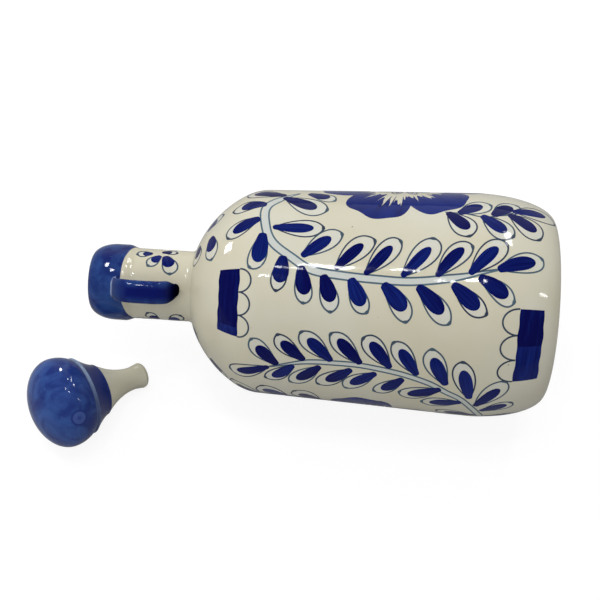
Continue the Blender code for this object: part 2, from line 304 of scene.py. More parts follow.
def banded(add, upright):
    """Cream neck with a cobalt lip, whose lower edge wanders as the brush went round."""
    axes = add("SeparateXYZ", {"Vector": upright})
    wander = add("TexNoise", {"Vector": upright, "Scale": 1 / BAND_STROKE})
    dip = add(
        "Math", {0: axes.outputs["X"], 1: BAND_DIP / NECK_RADIUS, 2: BAND_FOOT}, operation="MULTIPLY_ADD")
    lean = add("Math", {0: axes.outputs["Y"], 1: BAND_LEAN / NECK_RADIUS, 2: dip}, operation="MULTIPLY_ADD")
    edge = add("Math", {0: wander, 1: BAND_WANDER, 2: lean}, operation="MULTIPLY_ADD")
    above = add("Math", {0: axes.outputs["Z"], 1: edge}, operation="SUBTRACT")
    share = add("MapRange", {"Value": above, "From Min": 0.0, "From Max": BAND_EDGE}, **SMOOTH)
    blue = brushed_cobalt(add, upright, COBALT_DEEP, COBALT_MID)
    return add("Mix", {"Factor": share, "A": cream(add, upright), "B": blue}, **RGBA)


flare_foot = lip_crest - LIP_DEPTH
seam_top = (NECK_RADIUS, neck_foot + LUTING_HEIGHT)
seam_foot = shoulder[-1 - LUTING_STEPS]
neck_outside = eased(seam_foot, (NECK_RADIUS, neck_foot), seam_top, NECK_STEPS["seam"])
for step in range(NECK_STEPS["flare"] + 1):
    part = step / NECK_STEPS["flare"]
    neck_outside.append((NECK_RADIUS + LIP_SWELL * half_wave(part), flare_foot + LIP_FLARE * part))
lip_round = (lip_radius - LIP_ROUND_WIDTH, lip_crest - LIP_ROUND_HEIGHT)
neck_outside += arc(lip_round, (LIP_ROUND_WIDTH, LIP_ROUND_HEIGHT), 0, 90, NECK_STEPS["lip"])
mouth_round = (MOUTH_RADIUS + MOUTH_ROUND, lip_crest - MOUTH_ROUND)
throat_foot = lip_crest - MOUTH_THROAT
neck_inside = arc(mouth_round, (MOUTH_ROUND, MOUTH_ROUND), 90, 180, NECK_STEPS["mouth"])
neck_inside += [(MOUTH_RADIUS, throat_foot), (neck_bore, throat_foot - MOUTH_TAPER), (neck_bore, neck_foot)]

band_glaze = glazed("cream_and_cobalt_lip_glaze", banded, LIP_GLOSS)
neck_mesh = turned(neck_outside + neck_inside, BOTTLE_SEGMENTS // 2)
neck = add_piece("glazed_neck", neck_mesh, band_glaze, "cream_glaze")
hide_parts("neck")


# Handle: a strap of clay pulled by hand, bent from the lip to the foot of the neck and pressed on there.
# A thumb drawn along it left a shallow channel, where the cobalt lies thickest, and paler edges.
HANDLE_WIDTH = 10.6 * MM
HANDLE_THICKNESS = 6.0 * MM
HANDLE_GAP = 10.5 * MM  # clear space between the neck and the strap
HANDLE_TOP_DROP = 14.6 * MM  # crest to the middle of the strap's upper root
HANDLE_FOOT_RISE = 6.8 * MM  # foot of the neck to the middle of the lower root
HANDLE_SQUARENESS = 2.6  # 2 would be a half ellipse
CHANNEL_DEPTH = 0.55 * MM
CHANNEL_WIDTH = 2.4 * MM
CHANNEL_FADE = (0.10, 0.45)  # the cobalt thins between these shares of the width
ROOT_TAPER = 0.14  # share that the strap narrows by towards its ends
PINCH = 0.62  # share that two fingers narrowed it by at its lower bend
PINCH_HEIGHT = 0.6 * MM  # above the root's middle, where that starts
ROOT_SEAM = 0.4 * MM  # ridge of slip round the root, where the glaze breaks pale
SEAM_REACH = 0.9 * MM
SEAM_SIDE = 0.6  # share of the half width at which the pale ridge ends
STRAP_STEPS = 56
STRAP_SIDES = 40
STRAP_POOLED = "#0A1662"
STRAP_WORN = "#25386F"
# Near black at the lower root: pooled cobalt, darkened further as painted shade where the strap turns into
# the neck.
STRAP_BLACK_POOL_AND_SHADE = "#020310"
WORN_REACH = 9 * MM  # the brush ran dry over this much of the upper end
POOL_AND_SHADE_REACH = 3.5 * MM  # and cobalt pooled over this much of the lower end, which is darkened further as painted shade
SEAM_PALE = "#A9BBE0"
WORN_EDGE = (-0.3 * MM, 0.9 * MM)  # it fades to pale between these heights at the upper root


def strap_cobalt(add, upright):
    """Cobalt pooled in the channel and lower root, thin over the edges; the root is darker still as painted
    shade.
    """
    axes = add("SeparateXYZ", {"Vector": upright})
    height = axes.outputs["Z"]
    off_middle = add("Math", {0: axes.outputs["Y"]}, operation="ABSOLUTE")
    spans = ((off_middle, CHANNEL_FADE[0] * HANDLE_WIDTH, CHANNEL_FADE[1] * HANDLE_WIDTH),
             (height, strap_top - WORN_REACH, strap_top),
             (height, strap_foot + POOL_AND_SHADE_REACH, strap_foot - POOL_AND_SHADE_REACH / 2),
             (height, strap_top + WORN_EDGE[0], strap_top + WORN_EDGE[1]))
    thin, upper, lower, edge = [
        add("MapRange", {"Value": value, "From Min": start, "From Max": end}, **SMOOTH)
        for value, start, end in spans]
    seam = add("Attribute", attribute_name="seam").outputs["Fac"]
    thin = add("Math", {0: thin, 1: upper}, operation="MAXIMUM")
    brushed = brushed_cobalt(add, upright, COBALT_DEEP, COBALT_MID)
    blue = add("Mix", {"Factor": thin, "A": colour(STRAP_POOLED), "B": brushed}, **RGBA)
    for share, code in ((upper, STRAP_WORN), (lower, STRAP_BLACK_POOL_AND_SHADE), (seam, SEAM_PALE), (edge, SEAM_PALE)):
        blue = add("Mix", {"Factor": share, "A": blue, "B": colour(code)}, **RGBA)
    return blue


def strap_gloss(add, upright):
    """The pooled cobalt at the lower root fired matt, and the rest of the strap is glossy."""
    height = add("SeparateXYZ", {"Vector": upright}).outputs["Z"]
    span = {"From Min": strap_foot, "From Max": strap_foot + POOL_AND_SHADE_REACH, "To Max": COBALT_GLOSS}
    return add("MapRange", {"Value": height, **span})


strap_top = lip_crest - HANDLE_TOP_DROP
strap_foot = neck_foot + HANDLE_FOOT_RISE
strap_half = (strap_top - strap_foot) / 2
strap_depth = HANDLE_GAP + HANDLE_THICKNESS / 2
strap_path = [(NECK_RADIUS - HANDLE_THICKNESS / 2, strap_top)]
for step in range(STRAP_STEPS + 1):
    angle = pi / 2 - pi * step / STRAP_STEPS
    out = strap_depth * max(cos(angle), 0) ** (2 / HANDLE_SQUARENESS)
    up = strap_half * copysign(abs(sin(angle)) ** (2 / HANDLE_SQUARENESS), angle)
    strap_path.append((NECK_RADIUS + out, strap_foot + strap_half + up))
strap_path.append((NECK_RADIUS - HANDLE_THICKNESS / 2, strap_foot))

handle_mesh = bmesh.new()
seam_layer = handle_mesh.verts.layers.float.new("seam")
strap_rings = []
for index, (out, height) in enumerate(strap_path):
    before = Vector(strap_path[max(index - 1, 0)])
    after = Vector(strap_path[min(index + 1, len(strap_path) - 1)])
    along = (after - before).normalized()
    across = Vector((0, 1, 0))
    forward = Vector((along.x, 0, along.y))
    place = Matrix((across, forward.cross(across), forward)).transposed().to_4x4()
    place.translation = (out, 0, height)
    wall = NECK_RADIUS + (LIP_SWELL if index < len(strap_path) / 2 else 0)
    taper = 1 - ROOT_TAPER * max(0, 1 - (out - wall) / HANDLE_GAP)
    outer_side = place @ Vector((0, HANDLE_THICKNESS / 2 * taper, 0))
    drop = (strap_foot + PINCH_HEIGHT - outer_side.z) / (PINCH_HEIGHT + HANDLE_THICKNESS / 2)
    pinch = 1 - PINCH * (1 - sqrt(1 - min(max(drop, 0), 1) ** 2))
    seam = exp(-((out - wall) / SEAM_REACH) ** 2) if index < len(strap_path) / 2 else 0
    ring = bmesh.ops.create_circle(
        handle_mesh, cap_ends=index in (0, len(strap_path) - 1), radius=1, segments=STRAP_SIDES)
    for vert in ring["verts"]:
        wide = vert.co.x * (HANDLE_WIDTH / 2 * taper * pinch + ROOT_SEAM * seam)
        deep = vert.co.y * (HANDLE_THICKNESS / 2 * taper + ROOT_SEAM * seam)
        if deep > 0:
            deep -= CHANNEL_DEPTH * exp(-(wide / CHANNEL_WIDTH) ** 2) * min(1, 2 * vert.co.y)
        vert[seam_layer] = seam * min(1, max(0, SEAM_SIDE - vert.co.x))
        vert.co = place @ Vector((wide, deep, 0))
    strap_rings.append({edge for vert in ring["verts"] for edge in vert.link_edges})
for ring, next_ring in zip(strap_rings, strap_rings[1:]):
    bmesh.ops.bridge_loops(handle_mesh, edges=list(ring | next_ring))

strap_glaze = glazed("cobalt_strap_glaze", strap_cobalt, strap_gloss)
handle = add_piece("glazed_handle", handle_mesh, strap_glaze, "cobalt_glaze")
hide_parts("handle")


# Vines: two painted sprays along the body, each a stem of two thin lines with leaves on both sides.
# A leaf is one loaded brush stroke of cobalt inside a loop drawn with a liner brush, over a pale wash.
# The strokes are thin skins of colour laid flat, wrapped round the body and set a hair above its glaze.
UNROLL_RADIUS = 50.0 * MM
PAINT_SUNK = 0.25 * MM  # the skins reach this far into the wall
PAINT_STACK = 0.008 * MM  # strokes that cross lie over each other by up to this much
WASH_LIFT = 0.015 * MM
LINE_LIFT = 0.035 * MM
COBALT_LIFT = 0.055 * MM
LOOP_LINE = 0.78 * MM  # width of the liner's stroke
LOOP_SLIMNESS = 0.45  # width of a leaf's loop as a share of its length
LOOP_WIDEST = 12.5 * MM
LOOP_START = 0.045  # the loop leaves this share of itself open at the stem
LOOP_BLOB = 1.1  # extra width where the liner turned at the point
BLOB_SPREAD = 0.15  # radians round the loop
POINT_SPREAD = 0.4
POINT_DRIFT = 0.35  # how far round the loop its point may be off
LINER_FADE = 0.28  # share of its width that the liner loses at its ends
WIDTH_SPREAD = (0.94, 1.06)  # shares of its width that a mark comes out at
REACH_SPREAD = (0.95, 1.05)
LEAF_BOW = (-0.02, 0.05)  # how far a leaf bends aside, as a share of its length
STROKE_REACH = 0.80  # length of the cobalt stroke as a share of the loop
UPPER_GAP = 4.0 * MM  # between the two lines of the upper stem
LOWER_GAP = 3.0 * MM
STEM_TAPER = 0.25  # share of its gap that a stem loses along its length
STEM_END = 0.12  # share of its gap that is left at its ends
STEM_OPENING = 10  # how fast its lines part at the start
STEM_CLOSING = 6
LOOP_POINT = 0.045  # how far a loop may be drawn out to a point, as a share of its length
TONGUE_WIDEST = 0.64  # where along its length a stroke is widest
TONGUE_START = 0.42  # width where the brush was set down, as a share of the widest
TONGUE_BLUNT = 0.05
DROP_SCALE = 1.3  # brings the widest half of a drop to about one
LINE_STEPS = 12  # between two points of a smooth line
# Weights of four points in a row, for the curve between the middle two.
LINE_BLEND = np.array(((0, 2, 0, 0), (-1, 0, 1, 0), (2, -5, 4, -1), (-1, 3, -3, 1))) / 2
# Cells along and across the grid of each kind of mark.
CELLS = {"wash": (14, 4), "stroke": (22, 6), "loop": (44, 1), "stem_wash": (70, 2), "stem_line": (90, 1),
         "bar": (24, 10), "scallop": (28, 1), "sprig_line": (40, 1), "petal": (14, 30)}
# How loaded the brush is, where 1 is full: least and most, or the same for all marks of a kind.
STROKE_LOAD = (0.45, 1.0)
LOOP_LOAD = (0.55, 1.0)
LINE_LOADS = {"stem_wash": 0.7, "stem_line": 0.45, "scallop": 0.9, "sprig_line": 0.7}
SKIN_STEP = 0.05 * MM
PATH_STEP = 0.004
STROKE_WELD = 0.001 * MM
SEED_RANGE = 50  # where in the noise a stroke's bristles lie

PAINT_LOADED = "#03064F"
PAINT_THIN = "#12287A"
LINE_DARK = "#343B50"
LINE_FAINT = "#64808E"
WASH = "#DCDED8"
STEM_WASH = "#CED4D2"  # the stems got a bluer wash than the leaves
WASH_DRIFT = 6 * MM
BRISTLE_STRETCH = (0.8, 2.2, 1.0)  # streaks run along a stroke
BRISTLE_SCALE = 1.6
BRISTLE_CONTRAST = 1.5
TONE_SPAN = {"From Min": 0.75, "From Max": 1.9}  # from thin paint to a full load

# Places are a turn from the handle in degrees and a height above the foot in mm.
UPPER_STEM = [(78, 118), (70, 125), (59, 132), (44, 131), (34, 127), (26, 118), (20, 109), (18, 96),
              (17, 80), (17, 65), (20, 47), (25, 29)]
LOWER_STEM = [(-36, 126), (-34, 121), (-30, 109), (-29, 97), (-29, 85), (-31, 72), (-33, 64), (-37, 54),
              (-42, 47), (-48, 39), (-60, 32), (-73, 29), (-84, 35)]
SLIMNESS = {"upper_curl": 0.56}  # the loops that are wider than the rest
# Leaves by group: width of the stroke and its lean in mm, and both ends of each leaf.
LEAF_GROUPS = {
    "upper_outer": (7.0, 0.5, [
        (40, 132, 19, 135), (27, 122, 9, 124), (22, 114, 3, 111), (18, 104, 0, 99), (17, 92, 0, 85),
        (15, 78, -2, 66), (15, 63, -2, 49), (17, 48, 3, 34), (21, 37, 9, 22)]),
    "upper_curl": (7.2, 0.0, [
        (50, 134, 41, 148.5), (62, 132, 63, 147), (74, 124, 81, 142), (71, 125, 56, 106),
        (78, 114, 68, 102)]),
    "upper_inner": (5.4, 0.2, [
        (44, 128, 44, 106), (27, 114, 42, 98), (21, 99, 39, 84), (19, 86, 39, 72), (19, 70, 39, 55),
        (20, 55, 38, 41), (22, 41, 40, 26)]),
    "upper_tip": (6.2, 0.0, [(25, 29, 32, 9)]),
    "lower_outer": (5.9, -0.4, [
        (-34, 122, -19, 134), (-29, 110, -16, 123), (-28, 98, -13, 112), (-28, 85, -12, 98),
        (-29, 72, -12, 84), (-32, 60, -14, 71), (-37, 47, -17, 56), (-46, 36, -22, 42),
        (-53, 33, -33, 21)]),
    "lower_curl": (5.2, 0.0, [
        (-59, 30, -51, 16), (-71, 27, -72, 11), (-81, 31, -90, 16)]),
    "lower_inner": (5.6, 0.3, [
        (-33, 115, -46, 127), (-32, 103, -47, 116), (-32, 89, -46, 104), (-33, 78, -46, 92),
        (-35, 66, -48, 78), (-40, 49, -48, 67), (-50, 39, -54, 56), (-68, 31, -66, 49),
        (-83, 36, -77, 52)]),
    "lower_tip": (5.0, 0.0, [(-36, 126, -46, 144)]),
}

hand = random.Random(11)  # the small unevenness of a painter's hand


def unrolled(outline, radius):
    """How a painting lies on a turned piece: flat() unrolls a place, and wrap() rolls a point back on."""
    radii = np.array([point[0] for point in outline])
    heights = np.array([point[1] for point in outline])
    climbs = np.concatenate(([0.0], np.cumsum(np.hypot(np.diff(radii), np.diff(heights)))))

    def flat(turn, height):
        return Vector((radians(turn) * radius, np.interp(height * MM, heights, climbs)))

    def wrap(point):
        out = Vector((cos(point.x / radius), sin(point.x / radius), 0))
        ends = (point.y - SKIN_STEP, point.y + SKIN_STEP)
        rise = np.diff(np.interp(ends, climbs, heights))[0]
        draw = np.diff(np.interp(ends, climbs, radii))[0]
        normal = (out * rise - Vector((0, 0, draw))).normalized()
        height = np.interp(point.y, climbs, heights)
        return out * np.interp(point.y, climbs, radii) + Vector((0, 0, height)) + normal * point.z

    return flat, wrap


def new_painting():
    """Flat layers to paint on: a pale wash, the thin lines over it and the cobalt strokes on top."""
    layers = {}
    for layer in ("wash", "line", "cobalt"):
        bm = bmesh.new()
        bm.verts.layers.float.new("load")
        bm.verts.layers.float_vector.new("bristle")
        layers[layer] = bm
    return layers


def mark(bm, cells, load, place):
    """One mark laid flat: a grid of cells along and across, each corner put where place() says."""
    made = bmesh.ops.create_grid(bm, x_segments=cells[0], y_segments=cells[1], size=1)
    load_layer = bm.verts.layers.float["load"]
    bristle_layer = bm.verts.layers.float_vector["bristle"]
    seed = hand.uniform(0, SEED_RANGE)
    lift = hand.uniform(0, PAINT_STACK)
    for vert in made["verts"]:
        share = (vert.co.x + 1) / 2
        aside = vert.co.y
        vert.co = (*place(share, aside, seed), lift)
        vert[load_layer] = load
        vert[bristle_layer] = (share, aside, seed)
    return made["verts"]


def square_to(path, share):
    """The unit vector across a flat path, at a share of its length."""
    ahead = path(min(share + PATH_STEP, 1)) - path(max(share - PATH_STEP, 0))
    return Vector((-ahead.y, ahead.x)).normalized()


def brush(bm, path, half_width, cells, load):
    """One stroke that follows a path and spreads to its width on both sides."""
    def place(share, aside, seed):
        return path(share) + square_to(path, share) * (aside * half_width(share))

    verts = mark(bm, cells, load, place)
    bmesh.ops.remove_doubles(bm, verts=verts, dist=STROKE_WELD)


def smooth_line(points):
    """A smooth curve through flat places, as a function of the share of its length."""
    powers = np.linspace(0, 1, LINE_STEPS, endpoint=False)[:, None] ** np.arange(4)
    knots = np.array([2 * points[0] - points[1], *points, 2 * points[-1] - points[-2]])
    runs = [powers @ LINE_BLEND @ knots[first:first + 4] for first in range(len(points) - 1)]
    places = np.vstack(runs + [knots[-2:-1]])
    travel = np.concatenate(([0.0], np.cumsum(np.hypot(*np.diff(places, axis=0).T))))

    def at(share):
        return Vector([np.interp(share * travel[-1], travel, places[:, axis]) for axis in (0, 1)])

    return at


def teardrop(share):
    """Half width of a drop, pointed at share 0 and round at share 1, whose widest half width is about one."""
    turn = pi * share
    return DROP_SCALE * sin(turn) * abs(sin(turn / 2))


def tongue(gone):
    """Half width of a pressed brush stroke: blunt where the brush was set down, widest past the middle."""
    rise = TONGUE_START + (1 - TONGUE_START) * sin(pi / 2 * min(gone / TONGUE_WIDEST, 1))
    start = sqrt(max(0, 1 - (1 - min(gone / TONGUE_BLUNT, 1)) ** 2))
    end = sqrt(max(0, 1 - max(0, (gone - TONGUE_WIDEST) / (1 - TONGUE_WIDEST)) ** 2))
    return rise * start * end


def leaf(layers, base, tip, stroke, lean=0.0, mirror=1, slimness=LOOP_SLIMNESS, reach=STROKE_REACH):
    """One leaf from the stem to its tip: wash, cobalt stroke of a width, and the loop round both."""
    axis = tip - base
    square = Vector((-axis.y, axis.x)).normalized() * mirror
    width = min(slimness * axis.length, LOOP_WIDEST) * hand.uniform(*WIDTH_SPREAD)
    bend = axis.length * hand.uniform(*LEAF_BOW)
    reach *= hand.uniform(*REACH_SPREAD)
    drawn_out = LOOP_POINT * hand.random()
    apex = pi + hand.uniform(-POINT_DRIFT, POINT_DRIFT)

    def along(share, aside=0.0):
        return base + axis * share + square * (aside + 4 * bend * share * (1 - share))

    def round_loop(share):
        return 2 * (LOOP_START + (1 - 2 * LOOP_START) * share)

    def at_point(share, spread):
        return exp(-((pi * round_loop(share) - apex) / spread) ** 2)

    def loop(share):
        out = half_wave(round_loop(share)) + drawn_out * at_point(share, POINT_SPREAD)
        return along(out, width / 2 * teardrop(round_loop(share)))

    def line(share):
        set_down = LOOP_BLOB * at_point(share, BLOB_SPREAD)
        return LOOP_LINE / 2 * (1 - LINER_FADE * (1 - sin(pi * share)) + set_down)

    def middle(share):
        return along(half_wave(share))

    def stroke_middle(share):
        return along(reach * half_wave(share), lean * half_wave(share))

    def wash_width(share):
        return (width / 2 + LOOP_LINE / 2) * teardrop(share)

    brush(layers["wash"], middle, wash_width, CELLS["wash"], load=0.0)
    stroke_width = stroke * hand.uniform(*WIDTH_SPREAD)
    brush(layers["cobalt"], stroke_middle, lambda share: stroke_width / 2 * tongue(half_wave(share)),
          CELLS["stroke"], load=hand.uniform(*STROKE_LOAD))
    brush(layers["line"], loop, line, CELLS["loop"], load=hand.uniform(*LOOP_LOAD))


def even_line(share):
    """Half width of a liner stroke that stays the same all along."""
    return LOOP_LINE / 2


def stem(layers, points, gap):
    """A stem: a pale band between two thin lines that run together at its ends."""
    path = smooth_line(points)

    def half_gap(share):
        ends = min(STEM_CLOSING * (1 - share), STEM_OPENING * share) + STEM_END
        return gap / 2 * (1 - STEM_TAPER * share) * min(1, ends)

    def edge(side):
        def at(share):
            return path(share) + square_to(path, share) * (side * half_gap(share))
        return at

    brush(layers["wash"], path, half_gap, CELLS["stem_wash"], LINE_LOADS["stem_wash"])
    for side in (-1, 1):
        brush(layers["line"], edge(side), even_line, CELLS["stem_line"], LINE_LOADS["stem_line"])


def paint_material(name, dark, light):
    """Colour painted under the glaze, whose tone follows how loaded the brush was and its bristles."""
    def tint(add, upright):
        load = add("Attribute", attribute_name="load").outputs["Fac"]
        bristle = add("Attribute", attribute_name="bristle").outputs["Vector"]
        drawn = add("Mapping", {"Vector": bristle, "Scale": BRISTLE_STRETCH})
        streak = add("TexNoise", {"Vector": drawn, "Scale": BRISTLE_SCALE, "Detail": NOISE_DETAIL})
        tone = add("Math", {0: streak, 1: BRISTLE_CONTRAST, 2: load}, operation="MULTIPLY_ADD")
        share = add("MapRange", {"Value": tone, **TONE_SPAN}, **SMOOTH)
        return add("Mix", {"Factor": share, "A": colour(light), "B": colour(dark)}, **RGBA)
    return glazed(name, tint, COBALT_GLOSS)


def plain_wash(add, upright):
    """The faint blue-grey that cobalt leaves in the glaze beside a stroke."""
    drift = add("TexNoise", {"Vector": upright, "Scale": 1 / WASH_DRIFT})
    pale = add("Mix", {"Factor": drift, "A": colour(WASH), "B": cream(add, upright)}, **RGBA)
    load = add("Attribute", attribute_name="load").outputs["Fac"]
    return add("Mix", {"Factor": load, "A": pale, "B": colour(STEM_WASH)}, **RGBA)


stroke_glaze = paint_material("cobalt_underglaze_stroke", PAINT_LOADED, PAINT_THIN)
PAINT = {
    "wash": (WASH_LIFT, glazed("pale_cobalt_wash", plain_wash), "cream_glaze"),
    "cobalt": (COBALT_LIFT, stroke_glaze, "cobalt_glaze"),
    "line": (LINE_LIFT, paint_material("cobalt_underglaze_liner", LINE_DARK, LINE_FAINT), "cobalt_glaze"),
}


def finish_painting(name, layers, wrap):
    """Give each flat layer its thickness, wrap it round its piece and add it to the bottle."""
    for layer, (lift, material, slot) in PAINT.items():
        bm = layers[layer]
        if not bm.faces:
            bm.free()
            continue
        sunk = bmesh.ops.extrude_face_region(bm, geom=bm.faces[:], use_keep_orig=True)
        lower = {vert for vert in sunk["geom"] if isinstance(vert, bmesh.types.BMVert)}
        for vert in bm.verts:
            vert.co.z = -PAINT_SUNK if vert in lower else vert.co.z + lift
            vert.co = wrap(vert.co)
        add_piece(f"{name}_{layer}", bm, material, slot)


def front_and_back(flat):
    """The same layout for the front and, mirrored, for the back: (place function, handedness) pairs."""
    return [(flat, 1), (lambda turn, height: flat(180 - turn, height), -1)]


body_flat, body_wrap = unrolled(body_outside, UNROLL_RADIUS)
vines = new_painting()
for spot, mirror in front_and_back(body_flat):
    stem(vines, [spot(*point) for point in UPPER_STEM], UPPER_GAP)
    stem(vines, [spot(*point) for point in LOWER_STEM[::-1]], LOWER_GAP)
    for group, (stroke, lean, leaves) in LEAF_GROUPS.items():
        slimness = SLIMNESS.get(group, LOOP_SLIMNESS)
        for ends in leaves:
            leaf(vines, spot(*ends[:2]), spot(*ends[2:]), stroke * MM, lean * MM, mirror, slimness)
finish_painting("vine", vines, body_wrap)


# Bars: two broad cobalt bars in line with the handle, one on the shoulder and one by the foot.
# Each is filled with two pulls of a flat brush and edged with three scalloped lines on its inner side.
SHOULDER_BAR = {"turns": (-19, 19), "heights": (140.5, 150.0), "scallop": -5.4 * MM, "thin_part": 0.14}
FOOT_BAR = {"turns": (-32, 7), "heights": (7.5, 18.5), "scallop": 7.2 * MM, "thin_part": 0.52}
SCALLOPS = 3
BAR_WOBBLE = 0.3 * MM
BAR_WAVES = (7, 17)  # radians of the wobble along a bar
BAR_LOADS = (0.5, 1.0)  # of its thin part and of the rest


def bar(layers, spot, turns, heights, scallop, thin_part):
    """A filled bar, thinner over its first part, with scalloped lines that bulge from one long edge."""
    low_start, low_end = spot(turns[0], heights[0]), spot(turns[1], heights[0])
    high_start, high_end = spot(turns[0], heights[1]), spot(turns[1], heights[1])
    start, end = (low_start + high_start) / 2, (low_end + high_end) / 2
    half = (high_start - low_start).length / 2
    phase = hand.uniform(0, tau)

    def pull(first, last, load):
        def place(share):
            return first + (last - first) * share

        def wobbly(share):
            waves = sin(BAR_WAVES[0] * place(share) + phase) * sin(BAR_WAVES[1] * place(share))
            return half + BAR_WOBBLE * waves

        brush(layers["cobalt"], lambda share: start.lerp(end, place(share)), wobbly, CELLS["bar"], load)

    pull(0.0, thin_part, BAR_LOADS[0])
    pull(thin_part, 1.0, BAR_LOADS[1])
    edge_start, edge_end = (low_start, low_end) if scallop < 0 else (high_start, high_end)
    for index in range(SCALLOPS):
        first = edge_start.lerp(edge_end, index / SCALLOPS)
        last = edge_start.lerp(edge_end, (index + 1) / SCALLOPS)

        def round_line(share, first=first, last=last):
            middle = first.lerp(last, half_wave(share))
            return middle + Vector((0, scallop * sin(pi * share)))

        brush(layers["line"], round_line, even_line, CELLS["scallop"], LINE_LOADS["scallop"])


bars = new_painting()
for spot, _ in front_and_back(body_flat):
    for place in (SHOULDER_BAR, FOOT_BAR):
        bar(bars, spot, **place)
finish_painting("bar", bars, body_wrap)


# Flowers: one large flower on each side of the body, between the vines.
# Broad petals were pressed out with a round brush, whose hairs left white streaks towards the middle.
FLOWERS = [(96, 70, 1, 0), (-104, 80, -1, 18)]  # turn, height, handedness, and how far it is turned
# Petals as (heading in degrees, half of the spread in degrees, reach from the middle in mm).
PETALS = [(155, 31, 40), (217, 35, 37), (275, 26, 38), (322, 26, 37.5), (8, 26, 39), (54, 26, 37.2),
          (101, 26, 38.5)]
PETAL_INNER = 16 * MM
STREAK_DEPTH = 12 * MM
STREAK_BIAS = 1.5  # above 1, most streaks are short
PETAL_LOAD = (0.1, 0.5)
PETAL_LOBE = 0.32  # share of its reach that a petal loses at its sides
LOBE_SQUARENESS = 3.2
EDGE_RIPPLE = 0.02
RIPPLE_TURNS = 9
CENTRE_DOTS = 9
CENTRE_REACH = (3 * MM, 13 * MM)  # where a small petal of the middle starts and ends
CENTRE_STROKE = 2.2 * MM


def petal(layers, centre, heading, half, longest, load):
    """A broad petal: its outer edge is lobed and its inner edge runs out in uneven streaks."""
    streaks = {}

    def place(share, aside, seed):
        key = round(aside, 3)
        if key not in streaks:
            streaks[key] = STREAK_DEPTH * hand.random() ** STREAK_BIAS
        inner = PETAL_INNER + streaks[key]
        ripple = EDGE_RIPPLE * sin(RIPPLE_TURNS * aside + seed)
        outer = longest * (1 - PETAL_LOBE * abs(aside) ** LOBE_SQUARENESS + ripple)
        reach = inner + (outer - inner) * share
        angle = heading + aside * half
        return centre + Vector((cos(angle), sin(angle))) * reach

    mark(layers["cobalt"], CELLS["petal"], load, place)


flowers = new_painting()
for turn, height, side, spin in FLOWERS:
    centre = body_flat(turn, height)
    for heading, half, longest in PETALS:
        aim = radians(heading + spin)
        aim = aim if side > 0 else pi - aim
        petal(flowers, centre, aim, radians(half), longest * MM, hand.uniform(*PETAL_LOAD))
    for index in range(CENTRE_DOTS):
        angle = tau * index / CENTRE_DOTS
        way = Vector((cos(angle), sin(angle)))
        first, last = (centre + way * reach for reach in CENTRE_REACH)
        leaf(flowers, first, last, CENTRE_STROKE)
finish_painting("flower", flowers, body_wrap)


# Sprigs: short sprays that fill the corners beside the flowers, painted with the vines' two brushes.
# Each is one curved liner stroke with six round loops on it, and each loop holds one dab of cobalt.
SPRIG_STEM = [(59, 52), (58, 43), (56, 36), (57, 30), (61, 23), (64, 20)]
SPRIG_LEAVES = [
    (58, 46, 67, 32), (57, 31, 70, 19), (59, 51, 44, 40), (57, 36, 43.5, 23), (60, 24, 47, 10),
    (63, 22, 70, 2.5)]
SPRIG_STROKE = 6.4 * MM
SPRIG_SLIMNESS = 0.62
SPRIG_LEAN = 0.6 * MM
SPRIG_PAIR = (-14, 154)  # sums of the turns and of the heights of a sprig and its pair

sprigs = new_painting()
for spot, mirror in front_and_back(body_flat):
    for place in (spot, lambda turn, height, spot=spot: spot(SPRIG_PAIR[0] - turn, SPRIG_PAIR[1] - height)):
        path = smooth_line([place(*point) for point in SPRIG_STEM])
        brush(sprigs["line"], path, even_line, CELLS["sprig_line"], LINE_LOADS["sprig_line"])
        for ends in SPRIG_LEAVES:
            first, last = place(*ends[:2]), place(*ends[2:])
            leaf(sprigs, first, last, SPRIG_STROKE, SPRIG_LEAN, mirror, SPRIG_SLIMNESS)
finish_painting("sprig", sprigs, body_wrap)


# Small flowers: rings of looped petals round a bare middle, beside the handle, on shoulder and neck.
# Each petal is one round dab of cobalt under a short liner loop, put on after the neck was banded.
SHOULDER_PETALS = [
    (50, 157, 29, 155), (57, 163.5, 34, 164), (67, 160, 71, 153), (-57, 155, -72, 148),
    (-45, 163, -66, 163.5)]
NECK_PETALS = [
    (61, 182, 39, 187), (61, 180, 27, 175), (66, 186, 63, 193), (72, 182, 75, 175),
    (-70, 182, -48, 186.5), (-75, 177, -50, 171), (-76, 186, -78, 193), (-80, 177, -82, 170)]
SHOULDER_UNROLL = 34.0 * MM
SMALL_SLIMNESS = 0.66
SMALL_REACH = 0.68
SMALL_STROKE = 0.52  # width of a small petal's stroke as a share of its length
SMALL_FLOWERS = {"shoulder_flower": (body_outside, SHOULDER_UNROLL, SHOULDER_PETALS),
                 "neck_flower": (neck_outside, NECK_RADIUS, NECK_PETALS)}

for name, (outline, radius, petals) in SMALL_FLOWERS.items():
    flat, wrap = unrolled(outline, radius)
    layers = new_painting()
    for spot, mirror in front_and_back(flat):
        for ends in petals:
            first, last = spot(*ends[:2]), spot(*ends[2:])
            stroke = SMALL_STROKE * (last - first).length
            leaf(layers, first, last, stroke, 0.0, mirror, SMALL_SLIMNESS, SMALL_REACH)
    finish_painting(name, layers, wrap)


